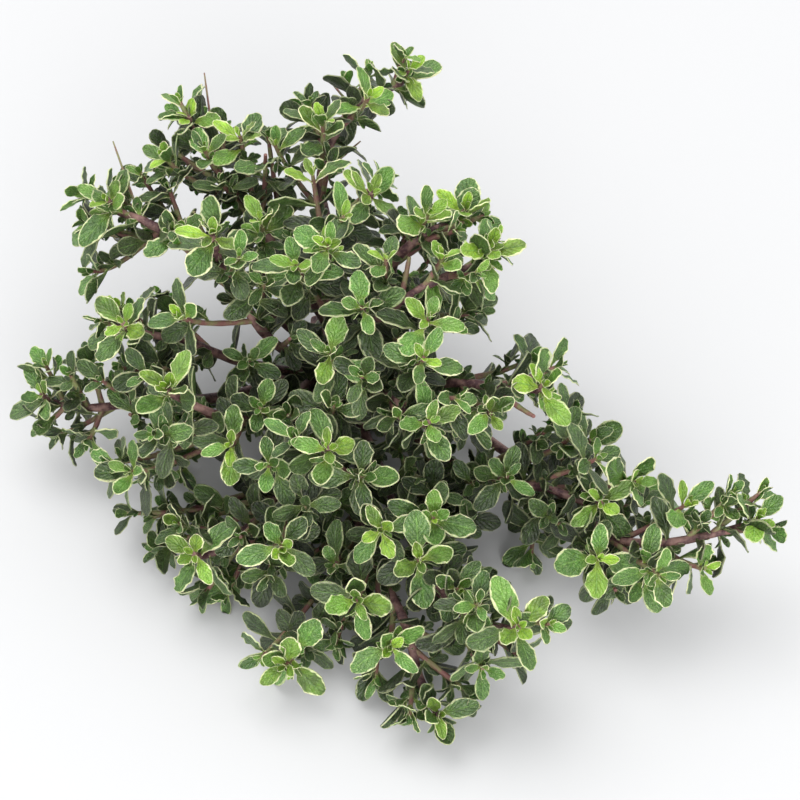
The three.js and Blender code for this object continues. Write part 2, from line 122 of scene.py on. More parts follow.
leafyStems = {
    "left_low": {
        "slot": (0, 0),
        "route": [(-27, 42, 3), (-41, 33, 8), (-57, 27, 14), (-69, 22, 18), (-80, 22, 23)],
        "shoots": [(0.5, (-50, 15, 3)), (0.62, (-60, 17, 22)), (0.8, (-70, 31, 25)),
                   (0.8, (-70, 15, 15))],
        "extras": [(0.56, (-55, 38, 26)), (0.7, (-66, 22, 28)), (0.46, (-52, 24, 12)), (0.84, (-73, 23, 29)),
                   (0.76, (-77, 18, 13)), (0.9, (-80, 18, 17)), (0.9, (-79, 27, 27))],
    },
    "front_left": {
        "slot": (0, 1),
        "route": [(-21, 37, 3), (-24, 20, 6), (-27, 3, 11), (-36, -12, 15), (-44, -19, 20)],
        "shoots": [(0.56, (-25, -22, 27)), (0.62, (-40, -3, 12)), (0.72, (-38, -19, 4)),
                   (0.8, (-48, -9, 17))],
        "extras": [(0.46, (-35, 8, 14)), (0.5, (-20, -4, 18)), (0.7, (-34, -16, 22)), (0.42, (-32, 16, 22)),
                   (0.6, (-55, -1, 8)), (0.66, (-61, -2, 11)), (0.7, (-54, -8, 6)), (0.76, (-43, -20, 5)),
                   (0.56, (-28, -23, 17))],
    },
    "front": {
        "slot": (0, 2),
        "route": [(-15, 34, 3), (-12, 10, 6), (-6, -14, 12), (1, -33, 15), (4, -43, 10), (8, -53, 11)],
        "shoots": [(0.5, (-20, -12, 8)), (0.58, (-24, -43, 14)), (0.62, (-9, -34, 25)),
                   (0.74, (-2, -43, 21))],
        "extras": [(0.44, (-14, -6, 18)), (0.54, (-14, -22, 20)), (0.66, (-5, -42, 7)), (0.84, (14, -48, 12)),
                   (0.6, (-14, -35, 9)), (0.56, (-29, -41, 14)), (0.86, (2, -52, 9)), (0.8, (10, -36, 12))],
    },
    "front_right": {
        "slot": (0, 3),
        "route": [(-10, 32, 3), (-3, 8, 8), (3, -14, 16), (9, -31, 22), (15, -39, 26), (24, -46, 34)],
        "shoots": [(0.48, (-4, -22, 33)), (0.56, (7, -18, 32)), (0.62, (4, -28, 31)), (0.7, (12, -34, 29)),
                   (0.8, (17, -48, 21)), (0.5, (12, -16, 6))],
        "extras": [(0.44, (8, -6, 24)), (0.6, (16, -26, 22)), (0.76, (30, -45, 33)), (0.84, (16, -42, 36)),
                   (0.5, (14, -8, 16)), (0.84, (25, -42, 16))],
    },
    "right_inner": {
        "slot": (0, 4),
        "route": [(-5, 36, 3), (6, 20, 7), (18, 6, 14), (32, -4, 23), (43, -11, 28)],
        "shoots": [(0.56, (23, -6, 30)), (0.66, (37, 4, 31)), (0.8, (50, -7, 30))],
        "extras": [(0.5, (16, -2, 22)), (0.62, (32, 8, 28)), (0.7, (34, -14, 24)), (0.78, (42, -4, 34)),
                   (0.4, (15, -8, 16)), (0.66, (38, 15, 27))],
    },
    "right_long": {
        "slot": (0, 5),
        "route": [(2, 40, 3), (20, 23, 5), (34, 6, 10), (45, -13, 18), (57, -20, 26), (75, -18, 32)],
        "shoots": [(0.5, (29, -9, 4)), (0.58, (42, -23, 24)), (0.66, (52, -26, 20)), (0.74, (60, -14, 31)),
                   (0.8, (64, -26, 25)), (0.5, (42, 10, 22))],
        "extras": [(0.62, (52, -10, 26)), (0.7, (54, -30, 28)), (0.86, (70, -13, 34)), (0.56, (36, -10, 16)),
                   (0.9, (76, -12, 33)), (0.6, (46, -25, 15)), (0.92, (79, -18, 29))],
    },
    "left": {
        "slot": (1, 0),
        "route": [(-24, 42, 6), (-36, 36, 17), (-49, 31, 31), (-60, 25, 44)],
        "shoots": [(0.5, (-33, 21, 36)), (0.62, (-54, 42, 34)), (0.72, (-62, 34, 39))],
        "extras": [(0.66, (-56, 18, 34)), (0.6, (-62, 24, 30)), (0.8, (-66, 30, 39))],
    },
    "left_inner": {
        "slot": (1, 1),
        "route": [(-21, 38, 7), (-28, 22, 17), (-37, 10, 30), (-49, 5, 47)],
        "shoots": [(0.54, (-58, -3, 28)), (0.6, (-50, 10, 34)), (0.68, (-36, -2, 36))],
        "extras": [(0.74, (-52, -2, 40)), (0.56, (-30, 8, 36)), (0.6, (-63, 1, 26))],
    },
    "middle": {
        "slot": (1, 2),
        "route": [(-17, 36, 7), (-19, 16, 15), (-18, 0, 30), (-15, -8, 43)],
        "shoots": [(0.6, (-28, -8, 37)), (0.66, (-8, -10, 36))],
        "extras": [(0.5, (-24, 6, 36)), (0.56, (-14, 4, 42)), (0.76, (-22, -6, 44)), (0.64, (-20, -14, 30))],
    },
    "middle_right": {
        "slot": (1, 3),
        "route": [(-12, 38, 9), (-8, 22, 24), (-5, 12, 37), (0, 3, 43), (6, -5, 48)],
        "shoots": [(0.56, (-15, 12, 50)), (0.62, (6, 13, 60)), (0.7, (5, 5, 57)), (0.6, (9, 7, 36))],
        "extras": [(0.66, (-8, 4, 52)), (0.8, (0, -4, 48)), (0.84, (12, 0, 50)), (0.5, (2, 16, 44)),
                   (0.5, (4, -4, 26))],
    },
    "right_high": {
        "slot": (1, 4),
        "route": [(-7, 38, 10), (2, 22, 27), (14, 10, 42), (30, 4, 49)],
        "shoots": [(0.5, (17, 16, 28)), (0.66, (28, 17, 42)), (0.76, (19, -2, 47))],
        "extras": [(0.84, (28, -2, 46)), (0.6, (16, 4, 36)), (0.84, (34, 14, 43))],
    },
    "left_top": {
        "slot": (2, 0),
        "route": [(-20, 40, 12), (-29, 32, 30), (-38, 35, 48), (-40, 34, 63)],
        "shoots": [(0.6, (-30, 45, 55)), (0.64, (-47, 22, 50)), (0.7, (-29, 28, 54))],
        "extras": [(0.74, (-48, 38, 56)), (0.8, (-34, 28, 62)), (0.5, (-24, 24, 40))],
    },
    "middle_back": {
        "slot": (2, 1),
        "route": [(-15, 40, 11), (-16, 37, 34), (-16, 42, 54), (-6, 45, 64)],
        "shoots": [(0.56, (-22, 27, 61)), (0.68, (-15, 27, 67)), (0.76, (-19, 52, 62)), (0.5, (-24, 50, 44))],
        "extras": [(0.6, (-8, 50, 52)), (0.64, (-14, 34, 62)), (0.8, (-12, 36, 66)), (0.84, (-4, 52, 62))],
    },
    "right_top": {
        "slot": (2, 2),
        "route": [(-11, 40, 13), (-8, 29, 32), (-4, 22, 50), (6, 23, 59), (19, 28, 65)],
        "shoots": [(0.6, (-8, 18, 58)), (0.7, (-3, 26, 64)), (0.8, (9, 24, 67)), (0.66, (12, 18, 52))],
        "extras": [(0.86, (16, 22, 64)), (0.56, (0, 16, 50)), (0.74, (2, 30, 60)), (0.9, (21, 32, 64)),
                   (0.7, (17, 24, 49))],
    },
    "right_back": {
        "slot": (2, 3),
        "route": [(-7, 44, 14), (-3, 40, 34), (-1, 36, 52), (6, 37, 60), (14, 40, 64)],
        "shoots": [(0.6, (10, 31, 48)), (0.66, (2, 43, 56)), (0.76, (6, 37, 66)), (0.5, (8, 50, 40))],
        "extras": [(0.8, (12, 34, 64)), (0.7, (10, 44, 56)), (0.5, (6, 32, 40)), (0.84, (18, 40, 62))],
    },
    "back_low": {
        "slot": (3, 0),
        "route": [(-21, 45, 13), (-31, 46, 25), (-45, 50, 38), (-57, 53, 46), (-65, 55, 51)],
        "shoots": [(0.5, (-38, 60, 34)), (0.8, (-69, 46, 37)), (0.7, (-52, 62, 47)), (0.72, (-50, 46, 50))],
        "extras": [(0.76, (-70, 53, 44)), (0.82, (-64, 62, 46)), (0.6, (-46, 54, 48)), (0.7, (-71, 57, 42)),
                   (0.66, (-59, 68, 46)), (0.86, (-72, 60, 48))],
        "twigs": [(0.86, (-65, 72, 52))],
    },
    "back_left": {
        "slot": (3, 1),
        "route": [(-16.5, 47, 15.5), (-23, 51, 29), (-34, 60, 40), (-43, 70, 48), (-48, 78, 54)],
        "shoots": [(0.6, (-36, 70, 56)), (0.68, (-53, 67, 52)), (0.56, (-26, 68, 40))],
        "extras": [(0.76, (-50, 74, 44)), (0.8, (-40, 78, 50)), (0.64, (-40, 60, 52)), (0.72, (-44, 66, 56)),
                   (0.74, (-54, 75, 48)), (0.5, (-30, 74, 52)), (0.6, (-30, 64, 56)), (0.9, (-50, 80, 57))],
        "twigs": [(0.8, (-45, 90, 56))],
    },
    "back_top": {
        "slot": (3, 2),
        "route": [(-11.5, 48, 15.5), (-14, 53, 34), (-18, 64, 48), (-11, 78, 56), (2, 87, 60)],
        "shoots": [(0.52, (-28, 67, 56)), (0.58, (-17, 67, 64)), (0.74, (-7, 75, 63))],
        "extras": [(0.66, (-20, 76, 60)), (0.56, (-16, 58, 58)), (0.8, (-12, 85, 58)), (0.7, (-22, 80, 54)),
                   (0.92, (1, 90, 62)), (0.76, (-7, 88, 59))],
        "twigs": [(0.62, (-9, 74, 50)), (0.8, (-17, 89, 56))],
    },
}

# Leaves in opposite pairs, from the tip down: distance from the tip, length, angle from the stem, and age.
# A stem, its side shoots and its small extra shoots have leaves of their own size, and twigs have none
leafHabit = {
    "pairs": [
        (0.6, 2.8, 16, 0.0),
        (1.2, 5.0, 32, 0.1),
        (2.2, 7.4, 46, 0.25),
        (4.2, 9.0, 58, 0.38),
        (7.4, 9.0, 66, 0.6),
        (11.5, 8.8, 72, 0.85),
        (16.5, 8.6, 76, 1.0),
        (22.5, 8.4, 80, 1.1),
    ],
    "lowerSpacing": 6.5,
    "lowerPair": (8.0, 82, 1.2),
    "leafyShare": 0.9,  # how far down an axis leaves grow
    "axisSizes": {"stem": 1.08, "shoot": 1.0, "extra": 0.9, "twig": 0},
    "axisSizeJitter": 0.1,
    "turnJitter": 0.3,
    "rollJitter": 0.55,
    "spreadJitter": 15,
    "lengthJitter": 0.12,
    "widthJitter": 0.1,
    "ageJitter": 0.2,
    "oldestAge": 1.5,
    "oldFormAge": 0.8,
    "youngFormLength": 4.8,
    "tone": (0.5, 0.5),  # middle and jitter
    "rim": (0.75, 0.25),
    "rootOffset": 0.06,
    "testShares": (0.4, 0.7, 1.0),  # where a blade is tested against other leaves and light gaps
    "lowestTip": 0.8,
    "lowestPoint": 0.1,
    "boxMargin": 0.8,
    "shrinkTries": 8,
    "shrinkStep": 0.88,
    "flatHeight": 2.5,
    "flatTurn": 2,
    "firstAxil": 3,
    "keptPairs": 4,
    "extraAge": 0.28,
    "axilShare": 0.3,  # of the range from -1 to 1
    "clearance": 1.25,
    "cellSize": 2,
    # painted shade: a leaf with growing tips standing above it is coloured darker, through a raised age value
    "shadeRise": 5,
    "shadeReach": 13,
    "shadeTips": 3,
    "shadeAge": 0.5,
}

# A bud in a leaf's axil, with a few small pairs: distance in from its tip, and length
budHabit = {
    "pairs": [(0.5, 2.6), (1.1, 3.8), (1.9, 4.6)],
    "reach": 2.4,
    "lean": 48,
    "leanJitter": 12,
    "size": 0.85,
    "sizeJitter": 0.35,
    "turnJitter": 0.4,
    "angle": 60,
    "angleStep": 14,
    "angleJitter": 10,
    "age": 0.3,
    "ageShare": 0.6,
    "ageStep": 0.15,
    "keyStep": 7,
    "keyStart": 40,
}

# The larger places where the background shows between the stems in the photograph: pixels across,
# pixels down, and radius in pixels. No leaf grows across these lines of sight, and a leaf below
# the rosettes also keeps its half width away, given as a share of its length
lightGaps = {
    "pictureWidth": 800,
    "halfWidth": 0.22,
    "places": {
        "leftHollow": [(130, 277, 14), (172, 266, 15), (198, 292, 10), (218, 328, 12), (224, 362, 8),
                       (258, 340, 8), (282, 340, 7)],
        "lowLeft": [(103, 405, 9), (122, 418, 9), (202, 474, 9), (255, 448, 7)],
        "back": [(185, 200, 7), (268, 149, 7), (318, 183, 9)],
        "right": [(412, 262, 9), (462, 345, 9), (530, 415, 8), (502, 444, 9)],
    },
}

# Repeatable numbers from -1 to 1, one for each stem, axis, leaf and use
jitterRule = {
    "steps": (127.1, 311.7, 74.7, 19.3),
    "scale": 43758.5453,
    "uses": {"turn": 1, "spread": 2, "length": 3, "size": 5, "rise": 6, "budLean": 6, "budSize": 7,
             "budTurn": 8, "roll": 9, "budAngle": 11, "bud": 13, "form": 21, "width": 22, "age": 23,
             "tone": 24, "rim": 25},
}


def jitter(stem, axis, leaf, use, step=0):
    places = (stem, axis, leaf, jitterRule["uses"][use] + step)
    wave = math.sin(sum(a * b for a, b in zip(places, jitterRule["steps"]))) * jitterRule["scale"]
    return 2 * (wave - math.floor(wave)) - 1


# Curves

def slotPoint(slot, y):
    row, column = slot
    fromMiddle = column - (bunchShape["rowCounts"][row] - 1) / 2
    x = bunchShape["bundleMiddleX"] + fromMiddle * bunchShape["slotWidth"]
    lowest = bunchShape["stemRadius"] * math.cos(math.pi / bunchShape["sectionSides"])
    height = lowest + row * bunchShape["rowRise"]
    return Vector((x, y, height))


def throughPoints(points):
    def at(share):
        place = share * (len(points) - 1)
        i = min(int(place), len(points) - 2)
        t = place - i
        before = points[i - 1] if i > 0 else 2 * points[0] - points[1]
        after = points[i + 2] if i + 2 < len(points) else 2 * points[-1] - points[-2]
        start, end = points[i], points[i + 1]
        leave, arrive = (end - before) / 2, (after - start) / 2
        bend = -3 * start + 3 * end - 2 * leave - arrive
        return start + leave * t + bend * t * t + (2 * start - 2 * end + leave + arrive) * t ** 3
    return at


def stemCurve(stem):
    points = [Vector(p) for p in stem["route"]]
    tip, stretch, rise = points[-1], bunchShape["tipStretch"], bunchShape["tipRise"]
    reach = (tip - points[-2]).normalized() * stretch * (1 - rise)
    points.insert(-1, tip - reach - bunchShape["upward"] * stretch * rise)
    endY = bunchShape["cutEndY"]
    ends = [slotPoint(stem["slot"], endY), slotPoint(stem["slot"], endY - bunchShape["straightLength"])]
    return throughPoints(ends + points)


def pointAtShare(curve, share):
    count = bunchShape["measureSteps"]
    samples = [curve(i / count) for i in range(count + 1)]
    lengths = [0.0]
    for a, b in zip(samples, samples[1:]):
        lengths.append(lengths[-1] + (b - a).length)
    target = share * lengths[-1]
    i = next(i for i in range(count) if lengths[i + 1] >= target)
    return samples[i].lerp(samples[i + 1], (target - lengths[i]) / (lengths[i + 1] - lengths[i]))


def shootCurve(stem, share, tip, wantedRise):
    start, end = pointAtShare(stem, share), Vector(tip)
    rise = wantedRise * min(1, end.z / bunchShape["flatShootHeight"])
    heading = (end - start).normalized().lerp(bunchShape["upward"], rise).normalized()
    turn = end - heading * (end - start).length * bunchShape["sideBend"]
    turn.z = max(turn.z, bunchShape["shootRadius"])
    return lambda t: start * (1 - t) ** 2 + turn * 2 * t * (1 - t) + end * t * t


def ringsAlong(curve, steps):
    rings = []
    step = bunchShape["tangentStep"]
    for i in range(steps + 1):
        t = i / steps
        low, high = max(t - step, 0), min(t + step, 1)
        tangent = (curve(high) - curve(low)).normalized()
        if rings:
            before = rings[-1]["side"]
        else:
            steep = abs(tangent.z) > bunchShape["steepTangent"]
            before = tangent.cross(Vector((0, 1, 0)) if steep else Vector((0, 0, 1)))
        side = (before - tangent * before.dot(tangent)).normalized()
        rings.append({"centre": curve(t), "tangent": tangent, "side": side})
    return rings


def lengthOf(rings):
    return sum((a["centre"] - b["centre"]).length for a, b in zip(rings, rings[1:]))


def placeFromTip(rings, distance):
    rest = distance
    for a, b in zip(reversed(rings), list(reversed(rings))[1:]):
        stretch = (a["centre"] - b["centre"]).length
        if rest <= stretch:
            t = rest / stretch
            return {key: a[key].lerp(b[key], t) for key in ("centre", "tangent", "side")}
        rest -= stretch
    return rings[0]


def axesOf(stemIndex, stem):
    curve = stemCurve(stem)
    sizes = leafHabit["axisSizes"]
    axes = [{"rings": ringsAlong(curve, bunchShape["stemSteps"]), "size": sizes["stem"], "kind": "stem"}]
    for kind, tips in (("shoot", stem["shoots"]), ("extra", stem["extras"]), ("twig", stem.get("twigs", []))):
        for share, tip in tips:
            number = len(axes)
            rise = bunchShape["sideRise"][kind]
            rise += bunchShape["sideRiseJitter"][kind] * jitter(stemIndex, number, 0, "rise")
            rings = ringsAlong(shootCurve(curve, share, tip, rise), bunchShape["shootSteps"])
            size = sizes[kind] + leafHabit["axisSizeJitter"] * jitter(stemIndex, number, 0, "size")
            axes.append({"rings": rings, "size": size, "kind": kind})
    return axes


# Leaf forms, each 10 mm long, modelled once and then copied

leafForms = {
    "length": 10 * mm,
    "thickness": 0.3 * mm,
    "columns": 2,
    "foldShares": (0.55, 0.45),  # of the fold, at the inner and the outer edge
    "innerReach": 0.1,  # three shares of the half width, past which vertices are moved
    "outerReach": 0.8,
    "edgeReach": 0.9,
    "rowReach": 0.02,  # of the gap between two rows
    "waveWidths": (2, 1),  # right and left
    "firstWave": 2,
    "notchDepth": 0.16,
    "smoothAngle": 60,
    # how far along each row stands, and its share of the full width
    "rows": {
        "grown": [(0.0, 0.14), (0.15, 0.17), (0.3, 0.42), (0.44, 0.78), (0.58, 0.98), (0.72, 0.98),
                  (0.85, 0.8), (0.95, 0.47), (1.0, 0.14)],
        "old": [(0.0, 0.14), (0.18, 0.2), (0.34, 0.5), (0.52, 0.92), (0.7, 1.0), (0.87, 0.78), (0.96, 0.46),
                (1.0, 0.16)],
        "young": [(0.0, 0.16), (0.28, 0.5), (0.62, 1.0), (0.87, 0.76), (1.0, 0.2)],
    },
    "forms": {
        "grownPlain": {"width": 0.49, "fold": 0.3, "curl": 0.16, "wave": 0.012, "notch": 0, "rolled": 0.04},
        "grownCupped": {"width": 0.49, "fold": 0.6, "curl": -0.16, "wave": 0.014, "notch": 0, "rolled": 0.02},
        "grownWavy": {"width": 0.52, "fold": 0.26, "curl": 0.22, "wave": 0.03, "notch": 6, "rolled": 0.05},
        "grownBroad": {"width": 0.56, "fold": 0.24, "curl": 0.26, "wave": 0.018, "notch": 7, "rolled": 0.065},
        "grownNarrow": {"width": 0.42, "fold": 0.4, "curl": 0.3, "wave": 0.014, "notch": 0, "rolled": 0.04},
        "grownBent": {"width": 0.49, "fold": 0.4, "curl": 0.42, "wave": 0.022, "notch": 5, "rolled": 0.02},
        "oldFlat": {"width": 0.51, "fold": 0.2, "curl": 0.18, "wave": 0.012, "notch": 0, "rolled": 0.04},
        "oldBent": {"width": 0.5, "fold": 0.34, "curl": 0.4, "wave": 0.02, "notch": 0, "rolled": 0.02},
        "oldCupped": {"width": 0.48, "fold": 0.55, "curl": -0.12, "wave": 0.0, "notch": 0, "rolled": 0.0},
        "youngFolded": {"width": 0.5, "fold": 0.55, "curl": -0.06, "wave": 0.0, "notch": 0, "rolled": 0.0},
        "youngBent": {"width": 0.5, "fold": 0.4, "curl": 0.3, "wave": 0.0, "notch": 0, "rolled": 0.0},
    },
}


def selectVertices(mesh, chosen):
    bpy.ops.mesh.select_all(action="DESELECT")
    bpy.ops.object.mode_set(mode="OBJECT")
    for vertex in mesh.vertices:
        vertex.select = chosen(vertex)
    bpy.ops.object.mode_set(mode="EDIT")


def makeLeafForm(name, form):
    bpy.ops.object.select_all(action="DESELECT")
    length = leafForms["length"]
    stage = next(stage for stage in leafForms["rows"] if name.startswith(stage))
    rows = leafForms["rows"][stage]
    bpy.ops.mesh.primitive_grid_add(x_subdivisions=leafForms["columns"], y_subdivisions=len(rows) - 1,
                                    size=length, location=(0, length / 2, 0))
    leaf = bpy.context.object
    leaf.name = "leafForm_" + name
    bpy.ops.object.transform_apply(location=True, rotation=False, scale=False)
    mesh = leaf.data
    bpy.ops.object.mode_set(mode="EDIT")
    bpy.ops.mesh.select_mode(type="VERT")
    halfWidth = length * form["width"] / 2
    gap = length / (len(rows) - 1)
    reach = leafForms["rowReach"] * gap
    # the strip is narrowed, and folded up from its midrib
    bpy.ops.mesh.select_all(action="SELECT")
    bpy.ops.transform.resize(value=(form["width"], 1, 1), center_override=(0, 0, 0))
    innerFold, outerFold = (share * form["fold"] * halfWidth for share in leafForms["foldShares"])
    selectVertices(mesh, lambda v: abs(v.co.x) > leafForms["innerReach"] * halfWidth)
    bpy.ops.transform.translate(value=(0, 0, innerFold))
    selectVertices(mesh, lambda v: abs(v.co.x) > leafForms["outerReach"] * halfWidth)
    bpy.ops.transform.translate(value=(0, 0, outerFold - form["rolled"] * length))
    # each row takes its place and width, and curls down
    for i in reversed(range(len(rows))):
        along, width = rows[i]
        rowY = i * gap
        selectVertices(mesh, lambda v: abs(v.co.y - rowY) < reach)
        bpy.ops.transform.resize(value=(width, 1, width), center_override=(0, rowY, 0))
        drop = form["curl"] * length * along * along
        bpy.ops.transform.translate(value=(0, along * length - rowY, -drop))
    # the edge waves, more on one side than on the other, and is notched near the tip
    if form["wave"]:
        right, left = leafForms["waveWidths"]
        for i in range(leafForms["firstWave"], len(rows) - 1):
            rowY, edge = rows[i][0] * length, rows[i][1] * halfWidth
            sideways = (1 if i % 2 else -1) * form["wave"] * edge
            lift = (1 if i % 2 else -1) * form["wave"] * length
            atEdge = leafForms["edgeReach"] * edge
            selectVertices(mesh, lambda v: abs(v.co.y - rowY) < reach and v.co.x > atEdge)
            bpy.ops.transform.translate(value=(right * sideways, 0, lift))
            selectVertices(mesh, lambda v: abs(v.co.y - rowY) < reach and v.co.x < -atEdge)
            bpy.ops.transform.translate(value=(left * sideways, 0, -lift))
    if form["notch"]:
        rowY, edge = rows[form["notch"]][0] * length, rows[form["notch"]][1] * halfWidth
        selectVertices(mesh, lambda v: abs(v.co.y - rowY) < reach and v.co.x > leafForms["edgeReach"] * edge)
        bpy.ops.transform.translate(value=(-leafForms["notchDepth"] * edge, 0, 0))
    bpy.ops.object.mode_set(mode="OBJECT")
    wall = leaf.modifiers.new("wall", "SOLIDIFY")
    wall.thickness = leafForms["thickness"]
    wall.offset = -1
    wall.material_offset = 1
    bpy.ops.object.modifier_apply(modifier="wall")
    bpy.ops.object.shade_smooth_by_angle(angle=math.radians(leafForms["smoothAngle"]))
    return leaf


# Materials

def newMaterial(name, roughness, specular):
    material = bpy.data.materials.new(name)
    material.use_nodes = True
    shader = material.node_tree.nodes["Principled BSDF"]
    shader.inputs["Roughness"].default_value = roughness
    shader.inputs["Specular IOR Level"].default_value = specular
    return material, material.node_tree.nodes, material.node_tree.links, shader


def blend(nodes, links, factor, first, second):
    mix = nodes.new("ShaderNodeMix")
    mix.data_type = "RGBA"
    links.new(factor, mix.inputs["Factor"])
    for socket, value in ((mix.inputs["A"], first), (mix.inputs["B"], second)):
        if isinstance(value, tuple):
            socket.default_value = (*value, 1)
        else:
            links.new(value, socket)
    return mix.outputs["Result"]


def ramp(nodes, links, value, low, high, toLow=0.0, toHigh=1.0):
    spread = nodes.new("ShaderNodeMapRange")
    spread.interpolation_type = "SMOOTHSTEP"
    links.new(value, spread.inputs["Value"])
    for name, number in (("From Min", low), ("From Max", high), ("To Min", toLow), ("To Max", toHigh)):
        spread.inputs[name].default_value = number
    return spread.outputs["Result"]


def mathNode(nodes, links, operation, first, second):
    node = nodes.new("ShaderNodeMath")
    node.operation = operation
    for socket, value in zip(node.inputs, (first, second)):
        if isinstance(value, (int, float)):
            socket.default_value = value
        else:
            links.new(value, socket)
    return node.outputs["Value"]


def noise(nodes, links, place, scale, detail=2.0):
    texture = nodes.new("ShaderNodeTexNoise")
    texture.inputs["Scale"].default_value = scale
    texture.inputs["Detail"].default_value = detail
    links.new(place, texture.inputs["Vector"])
    return texture.outputs["Fac"]


def attribute(nodes, name):
    node = nodes.new("ShaderNodeAttribute")
    node.attribute_name = name
    return node.outputs["Fac"]


def bump(nodes, links, shader, height, distance):
    node = nodes.new("ShaderNodeBump")
    node.inputs["Distance"].default_value = distance
    node.inputs["Strength"].default_value = 1.0
    links.new(height, node.inputs["Height"])
    links.new(node.outputs["Normal"], shader.inputs["Normal"])


leafLook = {
    "young": (0.2, 0.335, 0.02),
    "grown": (0.056, 0.14, 0.019),
    "old": (0.034, 0.066, 0.015),
    # darkest green, for the oldest leaves and, as painted shade, for leaves under higher tips
    "oldestAndShaded": (0.03, 0.044, 0.017),
    "cream": (0.7, 0.71, 0.41),
    "speck": (0.31, 0.43, 0.15),
    "midrib": (0.13, 0.26, 0.05),
    "petiole": (0.34, 0.46, 0.07),
    "under": (0.085, 0.12, 0.06),
    "underYoung": (0.22, 0.33, 0.10),
    "upperRoughness": 0.38,
    "underRoughness": 0.65,
    "specular": 0.5,
    # each range: from, to, and the results at both ends where they aren't 0 and 1
    "grownAge": (0.0, 0.5),
    "oldAge": (0.45, 0.9),
    # where the darkest green comes in: the oldest leaves, and leaves darkened as painted shade
    "oldestAndShadedAge": (0.9, 1.4),
    "midribWidth": (0.0, 0.06, 1, 0),
    "midribLength": (0.7, 1.0, 0.75, 0),
    "midribAge": (0.3, 1.1, 1, 0.35),
    "speckNoise": (0.47, 0.64),
    "speckAge": (0.2, 1.3, 0.34, 0.13),
    "petioleLength": (0.02, 0.42, 0.85, 0),
    "petioleAge": (0.3, 0.9, 1, 0.25),
    "leafBrightness": (0, 1, 0.62, 1.45),
    "patchBrightness": (0.3, 0.7, -0.22, 0.22),
    "marginWidth": 0.055,
    "marginNoise": (0.32, 0.68),
    "marginShares": (0.25, 1.7),  # of the margin's width, where it is narrow and wide
    "marginSide": (0.7, 1.35, 1, 0),
    "marginTip": (0.93, 0.975),
    "marginAge": (0.4, 1.3, 1, 0.3),
    "fineScale": 3600,
    "patchScale": 420,
    "puckerScale": 800,
    "puckerHeight": 3,
    "sideVeins": 6.5,
    "sideVeinSlant": 5,
    "sideVeinWidth": (0.0, 0.2),
    "sideVeinHeight": 0.8,
    "midribRelief": (0.0, 0.08),
    "reliefDepth": 0.17 * mm,
    "throughLight": 0.25,
    "throughColours": (0.5, 1.0, 0.25),
    "throughDepth": 0.6 * mm,
}


def leafMaterial(name, upper):
    look = leafLook
    roughness = look["upperRoughness"] if upper else look["underRoughness"]
    material, nodes, links, shader = newMaterial(name, roughness, look["specular"])

    def span(value, key):
        return ramp(nodes, links, value, *look[key])

    def combine(operation, first, second):
        return mathNode(nodes, links, operation, first, second)

    place = nodes.new("ShaderNodeTexCoord").outputs["Object"]
    uv = nodes.new("ShaderNodeUVMap")
    uv.uv_map = "UVMap"
    parts = nodes.new("ShaderNodeSeparateXYZ")
    links.new(uv.outputs["UV"], parts.inputs["Vector"])
    across, along = parts.outputs["X"], parts.outputs["Y"]
    fromMiddle = combine("ABSOLUTE", combine("SUBTRACT", across, 0.5), 0.0)
    age, tone, rim = attribute(nodes, "age"), attribute(nodes, "tone"), attribute(nodes, "rim")
    fine = noise(nodes, links, place, look["fineScale"])
    patch = noise(nodes, links, place, look["patchScale"])
    # body colour, by age, and darker where painted shade has raised the age value
    if upper:
        body = blend(nodes, links, span(age, "grownAge"), look["young"], look["grown"])
        body = blend(nodes, links, span(age, "oldAge"), body, look["old"])
        body = blend(nodes, links, span(age, "oldestAndShadedAge"), body, look["oldestAndShaded"])
        vein = combine("MULTIPLY", span(fromMiddle, "midribWidth"), span(along, "midribLength"))
        vein = combine("MULTIPLY", vein, span(age, "midribAge"))
        body = blend(nodes, links, vein, body, look["midrib"])
        speck = combine("MULTIPLY", span(fine, "speckNoise"), span(age, "speckAge"))
        body = blend(nodes, links, speck, body, look["speck"])
        foot = combine("MULTIPLY", span(along, "petioleLength"), span(age, "petioleAge"))
        body = blend(nodes, links, foot, body, look["petiole"])
    else:
        body = blend(nodes, links, age, look["underYoung"], look["under"])
    # light and dark leaves, and patches in a leaf
    shade = nodes.new("ShaderNodeHueSaturation")
    bright = combine("ADD", span(tone, "leafBrightness"), span(patch, "patchBrightness"))
    links.new(bright, shade.inputs["Value"])
    links.new(body, shade.inputs["Color"])
    # cream edge, uneven in width
    widths = (share * look["marginWidth"] for share in look["marginShares"])
    width = ramp(nodes, links, patch, *look["marginNoise"], *widths)
    fromEdge = combine("SUBTRACT", 0.5, fromMiddle)
    side = span(combine("DIVIDE", fromEdge, width), "marginSide")
    margin = combine("MULTIPLY", combine("MAXIMUM", side, span(along, "marginTip")), rim)
    margin = combine("MULTIPLY", margin, span(age, "marginAge"))
    colour = blend(nodes, links, margin, shade.outputs["Color"], look["cream"])
    links.new(colour, shader.inputs["Base Color"])
    shader.inputs["Subsurface Weight"].default_value = look["throughLight"]
    shader.inputs["Subsurface Radius"].default_value = look["throughColours"]
    shader.inputs["Subsurface Scale"].default_value = look["throughDepth"]
    # raised between the midrib and the side veins, and puckered
    rows = combine("SUBTRACT", combine("MULTIPLY", along, look["sideVeins"]),
                   combine("MULTIPLY", fromMiddle, look["sideVeinSlant"]))
    sideVein = span(combine("PINGPONG", rows, 0.5), "sideVeinWidth")
    pucker = combine("MULTIPLY", noise(nodes, links, place, look["puckerScale"]), look["puckerHeight"])
    height = combine("ADD", fine, span(fromMiddle, "midribRelief"))
    height = combine("ADD", height, combine("MULTIPLY", sideVein, look["sideVeinHeight"]))
    height = combine("ADD", height, pucker)
    bump(nodes, links, shader, height, look["reliefDepth"])
    return material


